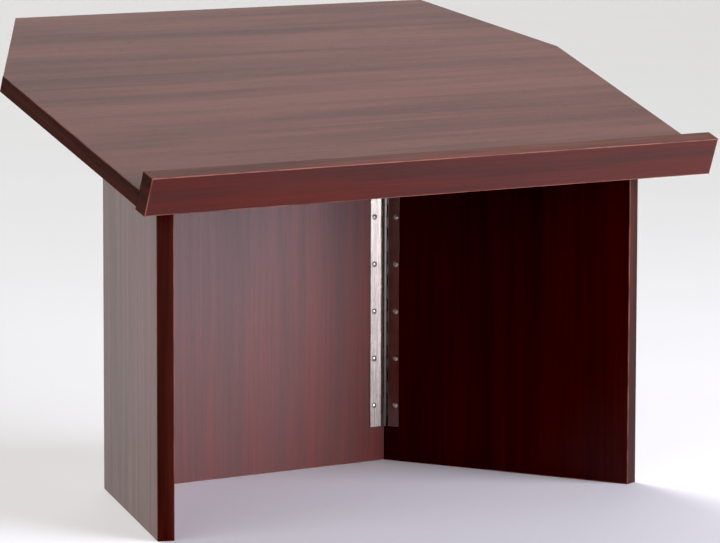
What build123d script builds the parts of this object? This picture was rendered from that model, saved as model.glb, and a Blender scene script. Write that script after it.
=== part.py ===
from build123d import *
import math
import os

# Folding tabletop lectern: a three-panel folding base with a loose sloping reading top.
# Units are millimetres.  +Z is up, +X is to the reader's right, +Y is away from the reader.
# The origin is the centre of the overall footprint, on the table.

os.makedirs("parts", exist_ok=True)

# ---- driving dimensions -------------------------------------------------------------
BOARD_T = 16.0  # every panel is the same laminated board
BAND_T = 1.0  # edge band around the boards
ARRIS = 0.7  # rounding of the band corners

TOP_W = 650.0
TOP_SIDE = 244.5  # straight part of the top's sides, measured up the slope
TOP_DEPTH = 369.0  # full depth of the top, measured up the slope
CORNER_CUT = 85.5  # how far each back corner is cut in, across the width
TILT = 20.5  # slope of the reading surface
TOP_FRONT_Z = 326.5  # height of the reading surface where it meets the lip

LIP_RISE = 18.9  # lip above the reading surface
LIP_DROP = 2.4  # lip below the underside of the top

BACK_LEN = 312.0  # back panel, between the two inside corners
WING_LEN = 276.0  # wing, from the inside corner to its front edge
FLARE = 23.0  # each wing opens this far from square
CORNER_TO_LIP = 290.5  # from the back panel's inner face forward to the lip

MITRE_GAP = 0.15  # each mitred end stops this far short of the mitre line
WING_DROP = 13.0  # wing tops sit this far below the underside of the top
BATTEN_CLEAR = 1.1  # running gap between a wing top and its batten

HINGE_Z0 = 34.6
HINGE_PITCH = 11.85  # knuckle length
HINGE_FIRST_SCREW = 56.2
HINGE_SCREWS = 7
KNUCKLES_PER_SCREW = 4
HINGE_LAST_KNUCKLES = 2  # whole knuckles above the last screw
LEAF_W = 16.0  # from the pin axis to the leaf's long edge
LEAF_T = 1.1
PIN_R = 1.0
KNUCKLE_R = 2.5
KNUCKLE_CLEAR = 0.1  # knuckle to the face of the panel
PIN_FIT = 0.05  # running fit of the moving knuckles on the pin
KNUCKLE_GAP = 0.3  # between neighbouring knuckles
LEAF_RELIEF = 0.35  # leaf edge to the other leaf's knuckles
SCREW_REACH = 11.6  # hinge screw axis from the pin axis

HINGE_SCREW_HEAD_R = 2.9
HINGE_SCREW_HEAD_H = 1.2
HINGE_SCREW_R = 1.4
HINGE_SCREW_LEN = 13.0
HINGE_DRIVE_L = 3.4  # cross recess of a hinge screw
HINGE_DRIVE_W = 0.7
HINGE_DRIVE_DEPTH = 0.8
HOLE_FIT = 0.05  # hole radius over shank radius

BATTEN_S0 = 60.0  # start of a batten, from the corner along the wing
BATTEN_S1 = 266.0
BATTEN_IN = -10.0  # batten sides, measured outward from the wing's inner face
BATTEN_OUT = 26.0
BATTEN_SCREW_S = (80.0, 163.0, 246.0)
BATTEN_SCREW_HEAD_R = 4.0
BATTEN_SCREW_R = 1.9
BATTEN_SCREW_BITE = 11.0  # thread inside the top
BATTEN_SCREW_SINK = 6.0  # head sits this far up inside the batten
BATTEN_SCREW_HEAD_H = 2.6
BATTEN_THROUGH = 30.0  # longer than the batten is thick
BATTEN_DRIVE_L = 4.0  # cross recess of a batten screw
BATTEN_DRIVE_W = 0.9
BATTEN_DRIVE_DEPTH = 1.4

LIP_DOWEL_R = 4.0
LIP_DOWEL_X = (-270.0, -135.0, 0.0, 135.0, 270.0)
LIP_DOWEL_IN_LIP = 11.0
LIP_DOWEL_IN_TOP = 22.0

PEG_R = 4.0  # locating pegs in the top edge of the back panel
PEG_X = 110.0
PEG_BELOW = 24.0
PEG_ABOVE = 9.0
PEG_TIP = 1.0
PEG_HOLE_TOP_GAP = 1.0

FAR = 900.0  # longer than anything here, for trimming stock

# ---- derived placing ----------------------------------------------------------------
tilt = math.radians(TILT)
flare = math.radians(FLARE)
half_turn = math.radians((90.0 - FLARE) / 2.0)  # mitre angle of every corner joint
mitre_run = BOARD_T * math.tan(half_turn)
mitre_step = MITRE_GAP / math.cos(half_turn)

lip_front_y = -CORNER_TO_LIP - BOARD_T * math.cos(tilt) - LIP_RISE * math.sin(tilt)
top_back_y = -CORNER_TO_LIP + TOP_DEPTH * math.cos(tilt) + BOARD_T * math.sin(tilt)
back_y = -(lip_front_y + top_back_y) / 2.0  # the back panel's inner face
front_y = back_y - CORNER_TO_LIP  # where the reading surface meets the lip

reading = Plane(
    origin=(0, front_y, TOP_FRONT_Z),
    x_dir=(1, 0, 0),
    z_dir=(0, -math.sin(tilt), math.cos(tilt)),
)
underside = reading.offset(-BOARD_T)


def underside_z(y):
    """Height of the top's underside at a distance y from the origin."""
    return TOP_FRONT_Z - BOARD_T / math.cos(tilt) + (y - front_y) * math.tan(tilt)


wing_top_z = underside_z(back_y) - WING_DROP  # wing height at the inside corner
wing_fall = math.tan(tilt) * math.cos(flare)  # drop of the wing top per unit length


def wing_point(side, along, out, z=0.0):
    """A point given along a wing and outward from its inner face."""
    x = BACK_LEN / 2.0 + along * math.sin(flare) + out * math.cos(flare)
    y = back_y - along * math.cos(flare) + out * math.sin(flare)
    return (side * x, y, z)


def wing_top(side, lift=0.0):
    """Plane of a wing's top edge: it falls along the wing and is level across it."""
    return Plane(
        origin=(side * BACK_LEN / 2.0, back_y, wing_top_z + lift),
        z_dir=(side * wing_fall * math.sin(flare), -wing_fall * math.cos(flare), 1.0),
    )


# hinge pins stand in front of each inside corner, equally far from both panels
pin_off = KNUCKLE_R + KNUCKLE_CLEAR
pin_foot = pin_off * math.tan(half_turn)
pin_x = BACK_LEN / 2.0 - pin_foot
pin_y = back_y - pin_off

knuckle_z = [HINGE_Z0, HINGE_FIRST_SCREW - HINGE_PITCH]
for step in range(KNUCKLES_PER_SCREW * (HINGE_SCREWS - 1) + HINGE_LAST_KNUCKLES + 1):
    knuckle_z.append(HINGE_FIRST_SCREW + HINGE_PITCH * step)
hinge_top = knuckle_z[-1]
hinge_screw_z = [
    HINGE_FIRST_SCREW + HINGE_PITCH * KNUCKLES_PER_SCREW * step for step in range(HINGE_SCREWS)
]


def leaf_dir(side, leaf):
    """Direction from the pin along a leaf: across the back panel or along the wing."""
    if leaf == "back":
        return (-side, 0.0, 0.0)
    return (side * math.sin(flare), -math.cos(flare), 0.0)


def leaf_frame(side, leaf, z):
    """Plane at the pin: X runs along the leaf, Y is level."""
    return Plane(origin=(side * pin_x, pin_y, z), x_dir=leaf_dir(side, leaf), z_dir=(0, 0, 1))


def panel_side(side, leaf):
    """Which way the panel lies from the pin in the leaf's own frame."""
    return -side if leaf == "back" else side


def screw_frames(side, leaf):
    """One plane per hinge screw, on the leaf's outer face and facing out of it."""
    toward = panel_side(side, leaf)
    frames = []
    for z in hinge_screw_z:
        base = leaf_frame(side, leaf, z)
        seat = base.from_local_coords((SCREW_REACH, toward * (pin_off - LEAF_T), 0))
        frames.append(Plane(origin=seat, x_dir=(0, 0, 1), z_dir=base.y_dir * -toward))
    return frames


def rods(frames, radius, start, end):
    """Round rods standing on planes, from one height to another."""
    with BuildPart() as group:
        for frame in frames:
            with BuildSketch(frame.offset(start)):
                Circle(radius)
            extrude(amount=end - start)
    return group.part


def round_outer(builder, outward, run):
    """Round the long corners of the face that looks outward."""
    outer = builder.faces().sort_by(Axis((0, 0, 0), outward))[-1]
    fillet(outer.edges().filter_by(Axis((0, 0, 0), run)), ARRIS)


# ---- reading top ----------------------------------------------------------------------
half_w = TOP_W / 2.0
top_outline = [
    (-half_w, 0.0),
    (half_w, 0.0),
    (half_w, TOP_SIDE),
    (half_w - CORNER_CUT, TOP_DEPTH),
    (-half_w + CORNER_CUT, TOP_DEPTH),
    (-half_w, TOP_SIDE),
]
band_inset = [0.0, BAND_T, BAND_T, BAND_T, BAND_T, BAND_T]  # the lip covers the first side


def inset_corners(points, insets):
    """Corners of an outline whose sides have moved inward by their own insets."""
    corners = []
    count = len(points)
    for i in range(count):
        lines = []
        for j in (i - 1, i):
            (x0, y0), (x1, y1) = points[j % count], points[(j + 1) % count]
            size = math.hypot(x1 - x0, y1 - y0)
            nx, ny = -(y1 - y0) / size, (x1 - x0) / size
            lines.append((nx, ny, nx * x0 + ny * y0 + insets[j % count]))
        (a, b, c), (d, e, f) = lines
        det = a * e - b * d
        corners.append(((c * e - b * f) / det, (a * f - c * d) / det))
    return corners


core_outline = inset_corners(top_outline, band_inset)


def peg_frames():
    """Level planes of the two locating pegs, at the underside of the top."""
    peg_y = back_y + BOARD_T / 2.0
    return [Plane(origin=(x, peg_y, underside_z(peg_y))) for x in (-PEG_X, PEG_X)]


def lip_dowel_frames():
    """Planes of the lip dowels, on the joint and facing up the slope."""
    return [
        Plane(
            origin=reading.from_local_coords((x, 0, -BOARD_T / 2.0)),
            x_dir=(1, 0, 0),
            z_dir=reading.y_dir,
        )
        for x in LIP_DOWEL_X
    ]


def batten_screw_frames(side):
    """One plane per batten screw: under the screw head, facing up into the top."""
    frames = []
    middle = (BATTEN_IN + BATTEN_OUT) / 2.0
    for along in BATTEN_SCREW_S:
        x, y, _ = wing_point(side, along, middle)
        seat_z = wing_top_z - wing_fall * along + BATTEN_CLEAR + BATTEN_SCREW_SINK
        frames.append(Plane(origin=(x, y, seat_z), x_dir=(1, 0, 0), z_dir=reading.z_dir))
    return frames


def batten_screw_reach(frame):
    """Length of a batten screw above its seat."""
    rise = underside_z(frame.origin.Y) - frame.origin.Z
    return rise * math.cos(tilt) + BATTEN_SCREW_BITE


with BuildPart() as top_board:
    with BuildSketch(underside):
        Polygon(*core_outline, align=None)
    extrude(amount=BOARD_T)
    peg_hole_end = PEG_ABOVE + PEG_HOLE_TOP_GAP
    add(rods(peg_frames(), PEG_R + HOLE_FIT, -BOARD_T, peg_hole_end), mode=Mode.SUBTRACT)
    dowel_hole_end = LIP_DOWEL_IN_TOP + HOLE_FIT
    add(rods(lip_dowel_frames(), LIP_DOWEL_R + HOLE_FIT, 0.0, dowel_hole_end), mode=Mode.SUBTRACT)
    for board_side in (-1, 1):
        for seat in batten_screw_frames(board_side):
            thread_end = batten_screw_reach(seat) + HOLE_FIT
            add(rods([seat], BATTEN_SCREW_R + HOLE_FIT, 0.0, thread_end), mode=Mode.SUBTRACT)
top_board.part.label = "top_board"
export_step(top_board.part, "parts/top_board.step")


def top_band(index):
    """Edge band along one side of the top, mitred to its neighbours."""
    after = (index + 1) % len(top_outline)
    corners = [top_outline[index], top_outline[after], core_outline[after], core_outline[index]]
    with BuildPart() as band:
        with BuildSketch(underside):
            Polygon(*corners, align=None)
        extrude(amount=BOARD_T)
        start = reading.from_local_coords((*top_outline[index], 0))
        end = reading.from_local_coords((*top_outline[after], 0))
        run = (end - start).normalized()
        round_outer(band, run.cross(reading.z_dir), run)
    return band.part


with BuildPart() as top_band_right:
    add(top_band(1))
top_band_right.part.label = "top_band_right"
export_step(top_band_right.part, "parts/top_band_right.step")

with BuildPart() as top_band_right_corner:
    add(top_band(2))
top_band_right_corner.part.label = "top_band_right_corner"
export_step(top_band_right_corner.part, "parts/top_band_right_corner.step")

with BuildPart() as top_band_back:
    add(top_band(3))
top_band_back.part.label = "top_band_back"
export_step(top_band_back.part, "parts/top_band_back.step")

with BuildPart() as top_band_left_corner:
    add(top_band(4))
top_band_left_corner.part.label = "top_band_left_corner"
export_step(top_band_left_corner.part, "parts/top_band_left_corner.step")

with BuildPart() as top_band_left:
    add(top_band(5))
top_band_left.part.label = "top_band_left"
export_step(top_band_left.part, "parts/top_band_left.step")

# ---- book-stop lip --------------------------------------------------------------------
lip_low = -BOARD_T - LIP_DROP
lip_high = LIP_RISE


def lip_bar(x0, x1, n0, n1):
    """Straight bar as thick as the lip, placed by its width and height on the slope."""
    with BuildPart() as bar:
        with BuildSketch(reading.offset(n0)):
            with Locations(((x0 + x1) / 2.0, -BOARD_T / 2.0)):
                Rectangle(x1 - x0, BOARD_T)
        extrude(amount=n1 - n0)
    return bar.part


with BuildPart() as lip_board:
    add(lip_bar(-half_w + BAND_T, half_w - BAND_T, lip_low + BAND_T, lip_high - BAND_T))
    dowel_seat = -LIP_DOWEL_IN_LIP - HOLE_FIT
    add(rods(lip_dowel_frames(), LIP_DOWEL_R + HOLE_FIT, dowel_seat, 0.0), mode=Mode.SUBTRACT)
lip_board.part.label = "lip_board"
export_step(lip_board.part, "parts/lip_board.step")

with BuildPart() as lip_band_top:
    add(lip_bar(-half_w, half_w, lip_high - BAND_T, lip_high))
    round_outer(lip_band_top, reading.z_dir, reading.x_dir)
lip_band_top.part.label = "lip_band_top"
export_step(lip_band_top.part, "parts/lip_band_top.step")

with BuildPart() as lip_band_bottom:
    add(lip_bar(-half_w, half_w, lip_low, lip_low + BAND_T))
    round_outer(lip_band_bottom, reading.z_dir * -1, reading.x_dir)
lip_band_bottom.part.label = "lip_band_bottom"
export_step(lip_band_bottom.part, "parts/lip_band_bottom.step")

with BuildPart() as lip_band_left:
    add(lip_bar(-half_w, -half_w + BAND_T, lip_low + BAND_T, lip_high - BAND_T))
    round_outer(lip_band_left, reading.x_dir * -1, reading.z_dir)
lip_band_left.part.label = "lip_band_left"
export_step(lip_band_left.part, "parts/lip_band_left.step")

with BuildPart() as lip_band_right:
    add(lip_bar(half_w - BAND_T, half_w, lip_low + BAND_T, lip_high - BAND_T))
    round_outer(lip_band_right, reading.x_dir, reading.z_dir)
lip_band_right.part.label = "lip_band_right"
export_step(lip_band_right.part, "parts/lip_band_right.step")

with BuildPart() as lip_dowels:
    add(rods(lip_dowel_frames(), LIP_DOWEL_R, -LIP_DOWEL_IN_LIP, LIP_DOWEL_IN_TOP))
lip_dowels.part.label = "lip_dowels"
export_step(lip_dowels.part, "parts/lip_dowels.step")


# ---- battens under the top --------------------------------------------------------------
def batten(side):
    """Wedge strip under the top: its lower face runs just above the wing's top edge."""
    corners = [
        wing_point(side, BATTEN_S0, BATTEN_IN),
        wing_point(side, BATTEN_S1, BATTEN_IN),
        wing_point(side, BATTEN_S1, BATTEN_OUT),
        wing_point(side, BATTEN_S0, BATTEN_OUT),
    ]
    with BuildPart() as strip:
        with BuildSketch():
            Polygon(*[(x, y) for x, y, _ in corners], align=None)
        extrude(amount=FAR)
        split(bisect_by=underside, keep=Keep.BOTTOM)
        split(bisect_by=wing_top(side, BATTEN_CLEAR), keep=Keep.TOP)
        seats = batten_screw_frames(side)
        add(rods(seats, BATTEN_SCREW_R + HOLE_FIT, 0.0, BATTEN_THROUGH), mode=Mode.SUBTRACT)
        add(rods(seats, BATTEN_SCREW_HEAD_R + HOLE_FIT, -BATTEN_THROUGH, 0.0), mode=Mode.SUBTRACT)
    return strip.part


with BuildPart() as left_batten:
    add(batten(-1))
left_batten.part.label = "left_batten"
export_step(left_batten.part, "parts/left_batten.step")

with BuildPart() as right_batten:
    add(batten(1))
right_batten.part.label = "right_batten"
export_step(right_batten.part, "parts/right_batten.step")

with BuildPart() as batten_screws:
    for board_side in (-1, 1):
        for seat in batten_screw_frames(board_side):
            with BuildSketch(seat):
                Circle(BATTEN_SCREW_R)
            extrude(amount=batten_screw_reach(seat))
            with BuildSketch(seat.offset(-BATTEN_SCREW_HEAD_H)):
                Circle(BATTEN_SCREW_HEAD_R)
            extrude(amount=BATTEN_SCREW_HEAD_H)
            with BuildSketch(seat.offset(-BATTEN_SCREW_HEAD_H)):
                Rectangle(BATTEN_DRIVE_L, BATTEN_DRIVE_W)
                Rectangle(BATTEN_DRIVE_W, BATTEN_DRIVE_L)
            extrude(amount=BATTEN_DRIVE_DEPTH, mode=Mode.SUBTRACT)
batten_screws.part.label = "batten_screws"
export_step(batten_screws.part, "parts/batten_screws.step")

# ---- folding base -----------------------------------------------------------------------
pilot_r = HINGE_SCREW_R + HOLE_FIT
pilot_depth = HINGE_SCREW_LEN + HOLE_FIT
back_half = BACK_LEN / 2.0 - mitre_step
back_profile = [
    (-back_half, back_y),
    (back_half, back_y),
    (back_half + mitre_run, back_y + BOARD_T),
    (-back_half - mitre_run, back_y + BOARD_T),
]

with BuildPart() as back_panel:
    with BuildSketch(Plane.XY.offset(BAND_T)):
        Polygon(*back_profile, align=None)
    extrude(amount=FAR)
    split(bisect_by=underside, keep=Keep.BOTTOM)
    add(rods(peg_frames(), PEG_R + HOLE_FIT, -PEG_BELOW - HOLE_FIT, BOARD_T), mode=Mode.SUBTRACT)
    for corner_side in (-1, 1):
        seats = screw_frames(corner_side, "back")
        add(rods(seats, pilot_r, -pilot_depth, 0.0), mode=Mode.SUBTRACT)
back_panel.part.label = "back_panel"
export_step(back_panel.part, "parts/back_panel.step")

with BuildPart() as back_foot_band:
    with BuildSketch():
        Polygon(*back_profile, align=None)
    extrude(amount=BAND_T)
    round_outer(back_foot_band, (0, 0, -1), (1, 0, 0))
back_foot_band.part.label = "back_foot_band"
export_step(back_foot_band.part, "parts/back_foot_band.step")

with BuildPart() as locating_pegs:
    add(rods(peg_frames(), PEG_R, -PEG_BELOW, PEG_ABOVE))
    chamfer(locating_pegs.faces().group_by(Axis.Z)[-1].edges(), PEG_TIP)
locating_pegs.part.label = "locating_pegs"
export_step(locating_pegs.part, "parts/locating_pegs.step")


def wing_profile(side, start_in, start_out, end):
    """Plan outline of a wing: mitred at the hinge, square at the front."""
    corners = [
        wing_point(side, start_in, 0.0),
        wing_point(side, end, 0.0),
        wing_point(side, end, BOARD_T),
        wing_point(side, start_out, BOARD_T),
    ]
    return [(x, y) for x, y, _ in corners]


def wing_panel(side):
    """Laminated board of one wing."""
    with BuildPart() as panel:
        with BuildSketch(Plane.XY.offset(BAND_T)):
            Polygon(
                *wing_profile(side, mitre_step, mitre_step - mitre_run, WING_LEN - BAND_T),
                align=None,
            )
        extrude(amount=FAR)
        split(bisect_by=wing_top(side), keep=Keep.BOTTOM)
        add(rods(screw_frames(side, "wing"), pilot_r, -pilot_depth, 0.0), mode=Mode.SUBTRACT)
    return panel.part


def wing_front_band(side):
    """Edge band up the front edge of one wing."""
    with BuildPart() as band:
        with BuildSketch(Plane.XY.offset(BAND_T)):
            Polygon(*wing_profile(side, WING_LEN - BAND_T, WING_LEN - BAND_T, WING_LEN), align=None)
        extrude(amount=FAR)
        split(bisect_by=wing_top(side), keep=Keep.BOTTOM)
        round_outer(band, leaf_dir(side, "wing"), (0, 0, 1))
    return band.part


def wing_foot_band(side):
    """Edge band under one wing."""
    with BuildPart() as band:
        with BuildSketch():
            Polygon(*wing_profile(side, mitre_step, mitre_step - mitre_run, WING_LEN), align=None)
        extrude(amount=BAND_T)
        round_outer(band, (0, 0, -1), leaf_dir(side, "wing"))
    return band.part


with BuildPart() as left_wing_panel:
    add(wing_panel(-1))
left_wing_panel.part.label = "left_wing_panel"
export_step(left_wing_panel.part, "parts/left_wing_panel.step")

with BuildPart() as right_wing_panel:
    add(wing_panel(1))
right_wing_panel.part.label = "right_wing_panel"
export_step(right_wing_panel.part, "parts/right_wing_panel.step")

with BuildPart() as left_wing_front_band:
    add(wing_front_band(-1))
left_wing_front_band.part.label = "left_wing_front_band"
export_step(left_wing_front_band.part, "parts/left_wing_front_band.step")

with BuildPart() as right_wing_front_band:
    add(wing_front_band(1))
right_wing_front_band.part.label = "right_wing_front_band"
export_step(right_wing_front_band.part, "parts/right_wing_front_band.step")

with BuildPart() as left_wing_foot_band:
    add(wing_foot_band(-1))
left_wing_foot_band.part.label = "left_wing_foot_band"
export_step(left_wing_foot_band.part, "parts/left_wing_foot_band.step")

with BuildPart() as right_wing_foot_band:
    add(wing_foot_band(1))
right_wing_foot_band.part.label = "right_wing_foot_band"
export_step(right_wing_foot_band.part, "parts/right_wing_foot_band.step")


# ---- piano hinges -----------------------------------------------------------------------
def hinge_leaf(side, leaf):
    """One leaf of a piano hinge: plate, its own knuckles, and the screw holes."""
    toward = panel_side(side, leaf)
    first = 0 if leaf == "back" else 1
    bore = PIN_R if leaf == "back" else PIN_R + PIN_FIT
    plate_x0 = KNUCKLE_R + LEAF_RELIEF
    plate_mid = toward * (pin_off - LEAF_T / 2.0)
    web_mid = toward * (KNUCKLE_R + pin_off - LEAF_T) / 2.0
    web_t = KNUCKLE_R - pin_off + LEAF_T
    with BuildPart() as plate:
        with BuildSketch(leaf_frame(side, leaf, HINGE_Z0)):
            with Locations(((plate_x0 + LEAF_W) / 2.0, plate_mid)):
                Rectangle(LEAF_W - plate_x0, LEAF_T)
        extrude(amount=hinge_top - HINGE_Z0)
        for i in range(first, len(knuckle_z) - 1, 2):
            z0 = knuckle_z[i] + KNUCKLE_GAP / 2.0
            z1 = knuckle_z[i + 1] - KNUCKLE_GAP / 2.0
            with BuildSketch(leaf_frame(side, leaf, z0)):
                Circle(KNUCKLE_R)
                with Locations((plate_x0 / 2.0, web_mid)):
                    Rectangle(plate_x0, web_t)
                Circle(bore, mode=Mode.SUBTRACT)
            extrude(amount=z1 - z0)
        add(rods(screw_frames(side, leaf), pilot_r, -BOARD_T, LEAF_T), mode=Mode.SUBTRACT)
    return plate.part


def hinge_pin(side):
    """Pin through every knuckle of one hinge."""
    with BuildPart() as rod:
        with BuildSketch(leaf_frame(side, "back", HINGE_Z0)):
            Circle(PIN_R)
        extrude(amount=hinge_top - HINGE_Z0)
    return rod.part


def hinge_screws(side, leaf):
    """The raised-head screws of one leaf."""
    dome_r = (HINGE_SCREW_HEAD_R**2 + HINGE_SCREW_HEAD_H**2) / (2.0 * HINGE_SCREW_HEAD_H)
    half_arc = math.asin(HINGE_SCREW_HEAD_R / dome_r) / 2.0
    rim = (HINGE_SCREW_HEAD_R, 0.0)
    crown = (0.0, HINGE_SCREW_HEAD_H)
    between = (
        dome_r * math.sin(half_arc),
        HINGE_SCREW_HEAD_H - dome_r * (1.0 - math.cos(half_arc)),
    )
    with BuildPart() as group:
        for seat in screw_frames(side, leaf):
            section = Plane(origin=seat.origin, x_dir=seat.x_dir, z_dir=seat.x_dir.cross(seat.z_dir))
            with BuildSketch(section):
                with BuildLine():
                    Polyline(
                        crown,
                        (0.0, -HINGE_SCREW_LEN),
                        (HINGE_SCREW_R, -HINGE_SCREW_LEN),
                        (HINGE_SCREW_R, 0.0),
                        rim,
                    )
                    ThreePointArc(rim, between, crown)
                make_face()
            revolve(axis=Axis(seat.origin, seat.z_dir))
            with BuildSketch(seat.offset(HINGE_SCREW_HEAD_H)):
                Rectangle(HINGE_DRIVE_L, HINGE_DRIVE_W)
                Rectangle(HINGE_DRIVE_W, HINGE_DRIVE_L)
            extrude(amount=-HINGE_DRIVE_DEPTH, mode=Mode.SUBTRACT)
    return group.part


with BuildPart() as left_hinge_back_leaf:
    add(hinge_leaf(-1, "back"))
left_hinge_back_leaf.part.label = "left_hinge_back_leaf"
export_step(left_hinge_back_leaf.part, "parts/left_hinge_back_leaf.step")

with BuildPart() as left_hinge_wing_leaf:
    add(hinge_leaf(-1, "wing"))
left_hinge_wing_leaf.part.label = "left_hinge_wing_leaf"
export_step(left_hinge_wing_leaf.part, "parts/left_hinge_wing_leaf.step")

with BuildPart() as left_hinge_pin:
    add(hinge_pin(-1))
left_hinge_pin.part.label = "left_hinge_pin"
export_step(left_hinge_pin.part, "parts/left_hinge_pin.step")

with BuildPart() as left_hinge_back_screws:
    add(hinge_screws(-1, "back"))
left_hinge_back_screws.part.label = "left_hinge_back_screws"
export_step(left_hinge_back_screws.part, "parts/left_hinge_back_screws.step")

with BuildPart() as left_hinge_wing_screws:
    add(hinge_screws(-1, "wing"))
left_hinge_wing_screws.part.label = "left_hinge_wing_screws"
export_step(left_hinge_wing_screws.part, "parts/left_hinge_wing_screws.step")

with BuildPart() as right_hinge_back_leaf:
    add(hinge_leaf(1, "back"))
right_hinge_back_leaf.part.label = "right_hinge_back_leaf"
export_step(right_hinge_back_leaf.part, "parts/right_hinge_back_leaf.step")

with BuildPart() as right_hinge_wing_leaf:
    add(hinge_leaf(1, "wing"))
right_hinge_wing_leaf.part.label = "right_hinge_wing_leaf"
export_step(right_hinge_wing_leaf.part, "parts/right_hinge_wing_leaf.step")

with BuildPart() as right_hinge_pin:
    add(hinge_pin(1))
right_hinge_pin.part.label = "right_hinge_pin"
export_step(right_hinge_pin.part, "parts/right_hinge_pin.step")

with BuildPart() as right_hinge_back_screws:
    add(hinge_screws(1, "back"))
right_hinge_back_screws.part.label = "right_hinge_back_screws"
export_step(right_hinge_back_screws.part, "parts/right_hinge_back_screws.step")

with BuildPart() as right_hinge_wing_screws:
    add(hinge_screws(1, "wing"))
right_hinge_wing_screws.part.label = "right_hinge_wing_screws"
export_step(right_hinge_wing_screws.part, "parts/right_hinge_wing_screws.step")
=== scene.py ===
import math

import bpy
from mathutils import Matrix, Vector


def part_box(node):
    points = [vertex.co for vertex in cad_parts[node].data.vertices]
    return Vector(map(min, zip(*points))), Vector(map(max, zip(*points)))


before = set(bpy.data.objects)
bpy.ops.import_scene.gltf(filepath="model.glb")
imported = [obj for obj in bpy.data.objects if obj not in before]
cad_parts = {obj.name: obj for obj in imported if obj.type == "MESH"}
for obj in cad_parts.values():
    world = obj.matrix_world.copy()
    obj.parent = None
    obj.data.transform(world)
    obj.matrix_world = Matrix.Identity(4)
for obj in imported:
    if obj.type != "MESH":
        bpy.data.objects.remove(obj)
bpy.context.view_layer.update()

# Folding tabletop lectern: the look of its laminate, edge bands, hinges and hidden wood.
# Lengths are in metres.  +X is to the reader's right, +Y is away from the reader.

TILT = math.radians(20.5)  # slope of the reading top
FLARE = math.radians(23.0)  # each wing opens this far from square

# ---- shader helpers --------------------------------------------------------------------


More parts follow.
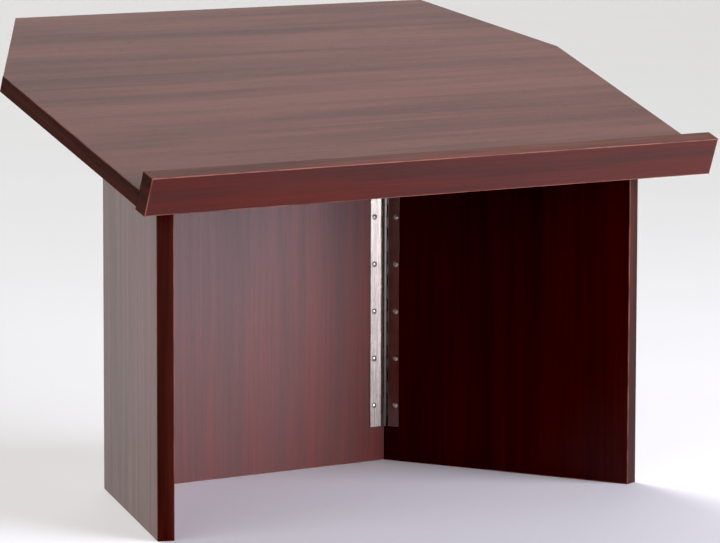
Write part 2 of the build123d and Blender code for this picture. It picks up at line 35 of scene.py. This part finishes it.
class Shader:
    """A node tree with short calls for the nodes used here."""

    def __init__(self, name):
        self.material = bpy.data.materials.new(name)
        self.material.use_nodes = True
        self.tree = self.material.node_tree
        self.tree.nodes.clear()
        self.output = self.tree.nodes.new("ShaderNodeOutputMaterial")
        self.bsdf = self.tree.nodes.new("ShaderNodeBsdfPrincipled")
        self.coords = self.tree.nodes.new("ShaderNodeTexCoord").outputs["Object"]
        self.link(self.bsdf.outputs["BSDF"], self.output.inputs["Surface"])

    def link(self, source, target):
        self.tree.links.new(source, target)

    def feed(self, value, socket):
        """Links an output, or sets a plain value."""
        if isinstance(value, bpy.types.NodeSocket):
            self.link(value, socket)
        else:
            socket.default_value = value

    def place(self, rotation, offset=(0.0, 0.0, 0.0)):
        """Coordinates fixed to the piece, turned so that X runs along the grain."""
        turn = self.tree.nodes.new("ShaderNodeMapping")
        turn.inputs["Rotation"].default_value = rotation
        turn.inputs["Location"].default_value = offset
        self.link(self.coords, turn.inputs["Vector"])
        return turn.outputs["Vector"]

    def stretch(self, vector, scale):
        """Coordinates scaled along each axis."""
        node = self.tree.nodes.new("ShaderNodeMapping")
        node.inputs["Scale"].default_value = scale
        self.link(vector, node.inputs["Vector"])
        return node.outputs["Vector"]

    def noise(self, vector, scale, detail=2.0, roughness=0.5, distortion=0.0):
        node = self.tree.nodes.new("ShaderNodeTexNoise")
        node.inputs["Scale"].default_value = scale
        node.inputs["Detail"].default_value = detail
        node.inputs["Roughness"].default_value = roughness
        node.inputs["Distortion"].default_value = distortion
        self.link(vector, node.inputs["Vector"])
        return node.outputs["Fac"]

    def grained(self, vector, repeats, detail=2.0, roughness=0.6, distortion=0.0):
        """Noise that repeats a given number of times per metre along each axis."""
        stretched = self.stretch(vector, repeats)
        return self.noise(stretched, 1.0, detail, roughness, distortion)

    def ramp(self, value, low, high, out_low=0.0, out_high=1.0):
        """Smooth step of a value from one range to another."""
        node = self.tree.nodes.new("ShaderNodeMapRange")
        node.interpolation_type = "SMOOTHSTEP"
        node.inputs["From Min"].default_value = low
        node.inputs["From Max"].default_value = high
        node.inputs["To Min"].default_value = out_low
        node.inputs["To Max"].default_value = out_high
        self.link(value, node.inputs["Value"])
        return node.outputs["Result"]

    def blend(self, a, b, share):
        """Weighted sum of two values."""
        first = self.math("MULTIPLY", a, share)
        return self.math("ADD", first, self.math("MULTIPLY", b, 1.0 - share))

    def math(self, operation, a, b):
        node = self.tree.nodes.new("ShaderNodeMath")
        node.operation = operation
        self.feed(a, node.inputs[0])
        self.feed(b, node.inputs[1])
        return node.outputs["Value"]

    def mix(self, factor, a, b, blend="MIX"):
        node = self.tree.nodes.new("ShaderNodeMix")
        node.data_type = "RGBA"
        node.blend_type = blend
        self.feed(factor, node.inputs["Factor"])
        colour_a = [s for s in node.inputs if s.name == "A" and s.type == "RGBA"][0]
        colour_b = [s for s in node.inputs if s.name == "B" and s.type == "RGBA"][0]
        self.feed(a, colour_a)
        self.feed(b, colour_b)
        return [s for s in node.outputs if s.type == "RGBA"][0]

    def shade(self, colour, value):
        """Colour times a value."""
        node = self.tree.nodes.new("ShaderNodeCombineColor")
        for socket in node.inputs:
            self.link(value, socket)
        return self.mix(1.0, colour, node.outputs["Color"], "MULTIPLY")

    def along(self, direction):
        """How far the surface lies along a direction fixed to the piece."""
        node = self.tree.nodes.new("ShaderNodeVectorMath")
        node.operation = "DOT_PRODUCT"
        node.inputs[1].default_value = direction
        self.link(self.coords, node.inputs[0])
        return node.outputs["Value"]

    def flat_distance(self, centre):
        """Distance from an upright line through a point."""
        flat = self.stretch(self.coords, (1.0, 1.0, 0.0))
        node = self.tree.nodes.new("ShaderNodeVectorMath")
        node.operation = "DISTANCE"
        node.inputs[1].default_value = centre
        self.link(flat, node.inputs[0])
        return node.outputs["Value"]

    def clear_from_behind(self):
        """Lets a view from under the floor see the underside of the object."""
        side = self.tree.nodes.new("ShaderNodeNewGeometry")
        clear = self.tree.nodes.new("ShaderNodeBsdfTransparent")
        pick = self.tree.nodes.new("ShaderNodeMixShader")
        self.link(side.outputs["Backfacing"], pick.inputs["Fac"])
        self.link(self.bsdf.outputs["BSDF"], pick.inputs[1])
        self.link(clear.outputs["BSDF"], pick.inputs[2])
        self.link(pick.outputs["Shader"], self.output.inputs["Surface"])

    def finish(self, colour, rough, height, relief, strength):
        """Feeds colour, roughness and bump to the surface, and gives back the material."""
        self.feed(colour, self.bsdf.inputs["Base Color"])
        self.feed(rough, self.bsdf.inputs["Roughness"])
        node = self.tree.nodes.new("ShaderNodeBump")
        node.inputs["Strength"].default_value = strength
        node.inputs["Distance"].default_value = relief
        self.link(height, node.inputs["Height"])
        self.link(node.outputs["Normal"], self.bsdf.inputs["Normal"])
        return self.material


# ---- directions fixed to the pieces ------------------------------------------------------
# the rotations bring a piece's grain onto the shader's X axis
ALONG_X = (-TILT, 0.0, 0.0)
ALONG_SLOPE = (-TILT, 0.0, math.pi / 2.0)
ALONG_Y = (0.0, 0.0, math.pi / 2.0)
UP_Z = (0.0, math.pi / 2.0, 0.0)

SQUARE_UP = (0.0, -math.sin(TILT), math.cos(TILT))  # square to the reading face
DOWN_SLOPE = (0.0, -math.cos(TILT), -math.sin(TILT))  # square to the lip's front face
TO_READER = (0.0, -1.0, 0.0)  # square to the back panel


def rgb(red, green, blue):
    return (red, green, blue, 1.0)


def extent(node, direction):
    """Lowest and highest reach of a CAD node along a direction."""
    reach = [Vector(direction).dot(vertex.co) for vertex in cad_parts[node].data.vertices]
    return min(reach), max(reach)


def coat(node, material):
    """Gives a CAD node one material all over."""
    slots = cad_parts[node].data.materials
    if len(slots) == 0:
        slots.append(material)
    for i in range(len(slots)):
        slots[i] = material


# ---- laminate ---------------------------------------------------------------------------
RED_BROWN = rgb(0.112, 0.0190, 0.0118)
UMBER = rgb(0.070, 0.0180, 0.0130)
PORE = rgb(0.020, 0.006, 0.005)

# how often the figure repeats per metre: along the grain, then twice across it
WIDE_BANDS = (1.6, 30.0, 30.0)
NARROW_BANDS = (3.4, 105.0, 105.0)
STREAKS = (7.0, 340.0, 340.0)
PORES = (90.0, 1500.0, 1500.0)
WIDE_SHARE = 0.50
FIGURE_EDGE = (0.36, 0.62)  # noise levels where umber gives way to red brown
STREAK_TONE = (0.87, 1.11)  # darkest and palest streaks
STREAK_HEIGHT = 0.35  # beside a pore's full depth of 1
PORE_EDGE = (0.60, 0.78)  # noise levels where a pore opens
PORE_DEPTH = 0.40
PORE_ROUGH = 0.2  # added to the roughness in a pore
LAMINATE_ROUGH = (0.40, 0.33)  # dark bands, then red ones
LAMINATE_RELIEF = (0.00003, 0.3)  # height in metres, and strength
MIDDLE = (0.3, 0.7)  # the span that most of a noise stays within


def mahogany(name, rotation, offset, painted_light_level, ior):
    """Satin mahogany laminate: soft bands, fine streaks and pores along the grain, with the colour
    scaled by a painted light and shade level for each board.
    """
    shader = Shader(name)
    grain = shader.place(rotation, offset)
    wide = shader.grained(grain, WIDE_BANDS, 2.0, 0.5, 0.35)
    narrow = shader.grained(grain, NARROW_BANDS, 3.0, 0.6, 0.2)
    streak = shader.grained(grain, STREAKS)
    pores = shader.grained(grain, PORES, 1.0, 0.5)
    band = shader.blend(wide, narrow, WIDE_SHARE)
    pore_mask = shader.ramp(pores, *PORE_EDGE, 0.0, PORE_DEPTH)

    figure = shader.mix(shader.ramp(band, *FIGURE_EDGE), UMBER, RED_BROWN)
    # painted light and shade: streak tones scaled by the board's level, palest on the top board,
    # darkest on the right wing
    tones = [tone * painted_light_level for tone in STREAK_TONE]
    colour = shader.shade(figure, shader.ramp(streak, *MIDDLE, *tones))
    colour = shader.mix(pore_mask, colour, PORE)

    rough = shader.ramp(band, *MIDDLE, *LAMINATE_ROUGH)
    rough = shader.math("ADD", rough, shader.math("MULTIPLY", pore_mask, PORE_ROUGH))
    shader.bsdf.inputs["IOR"].default_value = ior
    raised = shader.math("MULTIPLY", streak, STREAK_HEIGHT)
    height = shader.math("SUBTRACT", raised, pore_mask)
    return shader.finish(colour, rough, height, *LAMINATE_RELIEF)


# board, grain rotation, place in the figure, painted light level (the same laminate made lighter or
# darker for how light falls on that board), refractive index of its satin coat
BOARDS = (
    ("top_board", ALONG_X, (0.0, 0.0, 0.0), 1.10, 1.38),
    ("lip_board", ALONG_X, (3.1, 1.7, 0.0), 0.54, 1.31),
    ("back_panel", UP_Z, (0.0, 2.3, 0.0), 0.92, 1.42),
    ("left_wing_panel", UP_Z, (0.7, 5.1, 0.4), 0.74, 1.36),
    ("right_wing_panel", UP_Z, (1.9, 8.3, 0.9), 0.38, 1.34),
)
for board, rotation, offset, painted_light_level, ior in BOARDS:
    coat(board, mahogany(f"laminate_{board}", rotation, offset, painted_light_level, ior))

# ---- edge bands -------------------------------------------------------------------------
BAND_DARK = rgb(0.033, 0.0068, 0.0038)
BAND_RED = rgb(0.058, 0.0122, 0.0070)
# painted highlight: the pale pink line where the rounded arrises catch the light
ARRIS_HIGHLIGHT_COLOUR = rgb(0.30, 0.115, 0.085)
BAND_IOR = 1.20
BAND_FIGURE = (4.0, 90.0, 90.0)
BAND_EDGE = (0.35, 0.65)
BAND_STREAKS = (14.0, 900.0, 900.0)
BAND_TONE = (0.80, 1.16)  # darkest and palest streaks
BAND_ROUGH = (0.38, 0.30)
BAND_RELIEF = (0.00002, 0.5)
ARRIS_WIDTH = 0.0009  # painted highlight line along each edge of a band
EVEN_HIGHLIGHT_SHARE = 0.4  # share of the painted highlight line that is even, before it fades out
HIGHLIGHT_PATCHES = 45.0  # per metre
HIGHLIGHT_PATCH_EDGE = (0.3, 0.65)
HIGHLIGHT_SHARE = (0.203, 0.58)  # weakest and strongest patches of the painted highlight
UNDER_HIGHLIGHT = 0.35  # the painted highlight on the lower or rear edge is fainter, as that edge gets less light
LIP_TOP_PAINTED_LIGHT = 1.9  # painted light: the lip's top band faces up like the reading top and is made the palest
WING_FRONT_PAINTED_SHADE = 0.70  # painted shade: the wings' front bands face away from the light and are made the darkest


def edge_band(name, rotation, across, reach, painted_light_level=1.0):
    """Thin band on the board edges, darker than the faces, with a painted highlight along both its
    edges where the rounded arrises catch the light.
    """
    shader = Shader(name)
    grain = shader.place(rotation)
    figure = shader.grained(grain, BAND_FIGURE, 2.0, 0.5)
    streak = shader.grained(grain, BAND_STREAKS)
    body = shader.mix(shader.ramp(figure, *BAND_EDGE), BAND_DARK, BAND_RED)
    # painted light level: paler on the lip's top band, darker on the wings' front bands
    tones = [tone * painted_light_level for tone in BAND_TONE]
    body = shader.shade(body, shader.ramp(streak, *MIDDLE, *tones))

    level = shader.along(across)
    low, high = reach
    even_highlight = EVEN_HIGHLIGHT_SHARE * ARRIS_WIDTH
    # painted highlight along the near arris, and a fainter one along the far arris
    near_highlight = shader.ramp(level, high - ARRIS_WIDTH, high - even_highlight)
    far_highlight = shader.ramp(level, low + even_highlight, low + ARRIS_WIDTH, UNDER_HIGHLIGHT, 0.0)
    lines = shader.math("MAXIMUM", near_highlight, far_highlight)
    patchy_highlight = shader.ramp(shader.noise(grain, HIGHLIGHT_PATCHES, 3.0), *HIGHLIGHT_PATCH_EDGE, *HIGHLIGHT_SHARE)
    # painted highlight: the pale arris lines, broken into patches
    colour = shader.mix(shader.math("MULTIPLY", lines, patchy_highlight), body, ARRIS_HIGHLIGHT_COLOUR)

    shader.bsdf.inputs["IOR"].default_value = BAND_IOR
    rough = shader.ramp(streak, *MIDDLE, *BAND_ROUGH)
    return shader.finish(colour, rough, streak, *BAND_RELIEF)


def coat_band(node, rotation, across, reach, painted_light_level=1.0):
    """Gives a node an edge band of its own, with painted highlight lines at both ends of its reach.
    """
    coat(node, edge_band(f"band_{node}", rotation, across, reach, painted_light_level))


for end in ("back", "left", "right", "left_corner", "right_corner"):
    rotation = ALONG_X if end == "back" else ALONG_SLOPE
    coat_band(f"top_band_{end}", rotation, SQUARE_UP, extent("top_board", SQUARE_UP))
for end in ("top", "bottom", "left", "right"):
    rotation = ALONG_X if end in ("top", "bottom") else ALONG_SLOPE
    # painted light on the lip's top band
    painted_light_level = LIP_TOP_PAINTED_LIGHT if end == "top" else 1.0
    coat_band(f"lip_band_{end}", rotation, DOWN_SLOPE, extent("lip_board", DOWN_SLOPE), painted_light_level)
coat_band("back_foot_band", ALONG_X, TO_READER, extent("back_panel", TO_READER))
for side, sign in (("left", -1.0), ("right", 1.0)):
    inward = (-sign * math.cos(FLARE), -math.sin(FLARE), 0.0)
    reach = extent(f"{side}_wing_panel", inward)
    coat_band(f"{side}_wing_front_band", UP_Z, inward, reach, WING_FRONT_PAINTED_SHADE)
    coat_band(f"{side}_wing_foot_band", ALONG_Y, inward, reach)

# ---- hinges and screws --------------------------------------------------------------------
# painted shade: the dark tone round each pin, where the knuckles' mirror finish shows dark
# surroundings
KNUCKLE_SHADE_COLOUR = rgb(0.13, 0.12, 0.11)
KNUCKLE_GLOSS = 0.35  # knuckles keep this share of the roughness
KNUCKLE_EDGE = (0.0026, 0.0032)  # from the pin axis: the painted shade ends between these
CLOUDS = 70.0  # per metre
CLOUD_EDGE = (0.35, 0.7)
TARNISH = 0.86  # tone left where the plate is dullest
DRAWN_LINES = (2600.0, 2600.0, 14.0)  # drawn up the strip
SATIN_SPREAD = (-0.04, 0.05)  # the lines' roughness about the plate's own
METAL_RELIEF = (0.000005, 0.3)
PIN_TONE = (0.80, 0.77, 0.73)
SCREW_TONE = (0.55, 0.52, 0.48)
# leaf, then roughness and tone; in the photo the wing leaf is much the darker one
# painted shade: the wing leaf's tone is cut to under half the back leaf's, for the same nickel in
# shade
LEAF_FINISH_AND_PAINTED_SHADE = {"back": (0.245, (0.83, 0.775, 0.685)), "wing": (0.12, (0.38, 0.365, 0.34))}
PIN_ROUGH = 0.13
SCREW_ROUGH = 0.27


def nickel(name, rough, tone, pin=None):
    """Bright nickel plate with faint drawn lines; knuckles round a pin are glossier, and painted
    shade darkens them.
    """
    shader = Shader(name)
    lines = shader.grained(shader.coords, DRAWN_LINES)
    cloud = shader.noise(shader.coords, CLOUDS, 3.0, 0.6)
    tarnished = rgb(*[channel * TARNISH for channel in tone])
    plate = shader.mix(shader.ramp(cloud, *CLOUD_EDGE), rgb(*tone), tarnished)
    satin = shader.ramp(lines, *MIDDLE, *[rough + step for step in SATIN_SPREAD])
    if pin is not None:
        low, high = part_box(pin)
        axis = ((low[0] + high[0]) / 2.0, (low[1] + high[1]) / 2.0, 0.0)
        knuckle = shader.ramp(shader.flat_distance(axis), *KNUCKLE_EDGE, 1.0, 0.0)
        # painted shade on the knuckles round the pin
        plate = shader.mix(knuckle, plate, KNUCKLE_SHADE_COLOUR)
        gloss = shader.ramp(knuckle, 0.0, 1.0, 1.0, KNUCKLE_GLOSS)
        satin = shader.math("MULTIPLY", satin, gloss)
    shader.bsdf.inputs["Metallic"].default_value = 1.0
    return shader.finish(plate, satin, lines, *METAL_RELIEF)


screw_metal = nickel("screw_nickel", SCREW_ROUGH, SCREW_TONE)
coat("batten_screws", screw_metal)
for side in ("left", "right"):
    pin = f"{side}_hinge_pin"
    coat(pin, nickel(f"{side}_pin_nickel", PIN_ROUGH, PIN_TONE, pin))
    for leaf, (rough, tone) in LEAF_FINISH_AND_PAINTED_SHADE.items():
        coat(f"{side}_hinge_{leaf}_leaf", nickel(f"{side}_{leaf}_leaf_nickel", rough, tone, pin))
        coat(f"{side}_hinge_{leaf}_screws", screw_metal)

# ---- hidden wood ---------------------------------------------------------------------------
BEECH_PALE = rgb(0.52, 0.33, 0.18)
BEECH_DARK = rgb(0.38, 0.22, 0.11)
STAIN_RED = rgb(0.11, 0.030, 0.020)
STAIN_DARK = rgb(0.055, 0.016, 0.011)
RINGS = (10.0, 260.0, 260.0)
FIBRES = (60.0, 1800.0, 1800.0)
FIBRE_TONE = (0.82, 1.1)
WOOD_ROUGH = (0.5, 0.68)
WOOD_RELIEF = (0.00006, 0.6)


def straight_wood(name, rotation, pale, dark):
    """Plain or stained solid wood with straight grain."""
    shader = Shader(name)
    grain = shader.place(rotation)
    rings = shader.grained(grain, RINGS, 3.0)
    fibre = shader.grained(grain, FIBRES)
    figure = shader.mix(shader.ramp(rings, *MIDDLE), pale, dark)
    colour = shader.shade(figure, shader.ramp(fibre, *MIDDLE, *FIBRE_TONE))
    rough = shader.ramp(fibre, *MIDDLE, *WOOD_ROUGH)
    return shader.finish(colour, rough, fibre, *WOOD_RELIEF)


coat("locating_pegs", straight_wood("beech_upright", UP_Z, BEECH_PALE, BEECH_DARK))
coat("lip_dowels", straight_wood("beech_sloping", ALONG_SLOPE, BEECH_PALE, BEECH_DARK))
for side in ("left", "right"):
    coat(f"{side}_batten", straight_wood(f"{side}_stained_hardwood", ALONG_Y, STAIN_RED, STAIN_DARK))

# ---- floor ----------------------------------------------------------------------------------
PAPER_DARK = rgb(0.885, 0.915, 0.935)
PAPER_PALE = rgb(0.895, 0.925, 0.945)
PAPER_MOTTLE = 3.0  # per metre
PAPER_ROUGH = 0.8
PAPER_SHINE = 0.2
FLOOR_HALF = 22.0
FLOOR_GAP = 0.0002  # keeps the floor clear of the feet


def add_floor():
    """Plain pale paper, large enough to fill the view from any side."""
    mesh = bpy.data.meshes.new("floor")
    signs = ((-1, -1), (1, -1), (1, 1), (-1, 1))
    corners = [(x * FLOOR_HALF, y * FLOOR_HALF, 0.0) for x, y in signs]
    mesh.from_pydata(corners, [], [(0, 1, 2, 3)])
    floor = bpy.data.objects.new("floor", mesh)
    floor.location.z = -FLOOR_GAP
    bpy.context.collection.objects.link(floor)
    shader = Shader("floor_paper")
    mottle = shader.ramp(shader.noise(shader.coords, PAPER_MOTTLE), *MIDDLE)
    shader.feed(shader.mix(mottle, PAPER_DARK, PAPER_PALE), shader.bsdf.inputs["Base Color"])
    shader.bsdf.inputs["Roughness"].default_value = PAPER_ROUGH
    shader.bsdf.inputs["Specular IOR Level"].default_value = PAPER_SHINE
    shader.clear_from_behind()
    mesh.materials.append(shader.material)


# ---- light ----------------------------------------------------------------------------------
KEY_TINT = (1.0, 0.94, 1.10)
WARM_TINT = (1.0, 0.92, 0.86)
BACK_TINT = (1.0, 0.965, 0.935)
KEY_PLACE = (1.25, -2.3, 0.75)
KEY_AIM = (0.0, 0.0, 0.2)
KEY_SIZE = (2.6, 1.5)
KEY_POWER = 122.0
SUN_SPREAD = 35.0  # degrees across, so that shadows stay soft
SURROUND = 0.02  # light from the dark studio around
BLACK_LEVEL = 0.0105  # studio contrast: the deepest shadows go to black

# name, azimuth in degrees from +X, elevation, strength, tint
SUNS = (
    ("front_right", -65.0, 6.0, 0.80, WARM_TINT),
    ("behind", 90.0, 25.0, 3.65, BACK_TINT),
    ("behind_right", 55.0, 30.0, 0.51, BACK_TINT),
    ("left", 180.0, 35.0, 0.50, BACK_TINT),
    ("fill", -150.0, 25.0, 0.40, BACK_TINT),
)


def add_softbox(name, place, aim, size, power, tint):
    """Rectangular soft light at a place, facing a point."""
    data = bpy.data.lights.new(name, "AREA")
    data.shape = "RECTANGLE"
    data.size, data.size_y = size
    data.energy = power
    data.color = tint
    light = bpy.data.objects.new(name, data)
    bpy.context.collection.objects.link(light)
    light.location = place
    light.rotation_euler = (Vector(aim) - Vector(place)).to_track_quat("-Z", "Y").to_euler()


def add_sun(name, azimuth, elevation, strength, tint):
    """Distant soft light from an azimuth and an elevation."""
    data = bpy.data.lights.new(name, "SUN")
    data.energy = strength
    data.angle = math.radians(SUN_SPREAD)
    data.color = tint
    light = bpy.data.objects.new(name, data)
    bpy.context.collection.objects.link(light)
    turn = Matrix.Rotation(math.radians(azimuth), 3, "Z")
    tip = Matrix.Rotation(math.radians(90.0 - elevation), 3, "Y")
    light.rotation_euler = (turn @ tip).to_euler()


def add_world():
    """White surround for the camera that gives only a little light of its own."""
    world = bpy.data.worlds.new("studio")
    world.use_nodes = True
    bpy.context.scene.world = world
    tree = world.node_tree
    tree.nodes.clear()
    out = tree.nodes.new("ShaderNodeOutputWorld")
    around = tree.nodes.new("ShaderNodeBackground")
    around.inputs["Strength"].default_value = SURROUND
    seen = tree.nodes.new("ShaderNodeBackground")
    seen.inputs["Color"].default_value = rgb(1.0, 1.0, 1.0)
    path = tree.nodes.new("ShaderNodeLightPath")
    pick = tree.nodes.new("ShaderNodeMixShader")
    tree.links.new(path.outputs["Is Camera Ray"], pick.inputs["Fac"])
    tree.links.new(around.outputs["Background"], pick.inputs[1])
    tree.links.new(seen.outputs["Background"], pick.inputs[2])
    tree.links.new(pick.outputs["Shader"], out.inputs["Surface"])


def set_contrast():
    """Plain colours with deep shadows, like a product photograph's."""
    view = bpy.context.scene.view_settings
    view.view_transform = "Standard"
    view.use_curve_mapping = True
    view.curve_mapping.black_level = (BLACK_LEVEL, BLACK_LEVEL, BLACK_LEVEL)
    view.curve_mapping.update()


# ---- camera ---------------------------------------------------------------------------------
LENS = 232.5
SENSOR = 36.0
VIEW_REACH = 60.0
CAMERA_PLACE = (-2.5581, -3.5942, 0.7660)
CAMERA_YAW = -35.81  # degrees
CAMERA_PITCH = -7.13
CAMERA_ROLL = 0.14


def add_camera():
    """Long lens from the front left, a little above the reading top."""
    data = bpy.data.cameras.new("camera")
    data.sensor_width = SENSOR
    data.lens = LENS
    data.clip_end = VIEW_REACH
    camera = bpy.data.objects.new("camera", data)
    bpy.context.collection.objects.link(camera)
    camera.location = CAMERA_PLACE
    turn = Matrix.Rotation(math.radians(CAMERA_YAW), 3, "Z")
    tip = Matrix.Rotation(math.radians(90.0 + CAMERA_PITCH), 3, "X")
    roll = Matrix.Rotation(math.radians(CAMERA_ROLL), 3, "Z")
    camera.rotation_euler = (turn @ tip @ roll).to_euler()
    bpy.context.scene.camera = camera


add_floor()
add_softbox("key", KEY_PLACE, KEY_AIM, KEY_SIZE, KEY_POWER, KEY_TINT)
for sun in SUNS:
    add_sun(*sun)
add_world()
set_contrast()
add_camera()
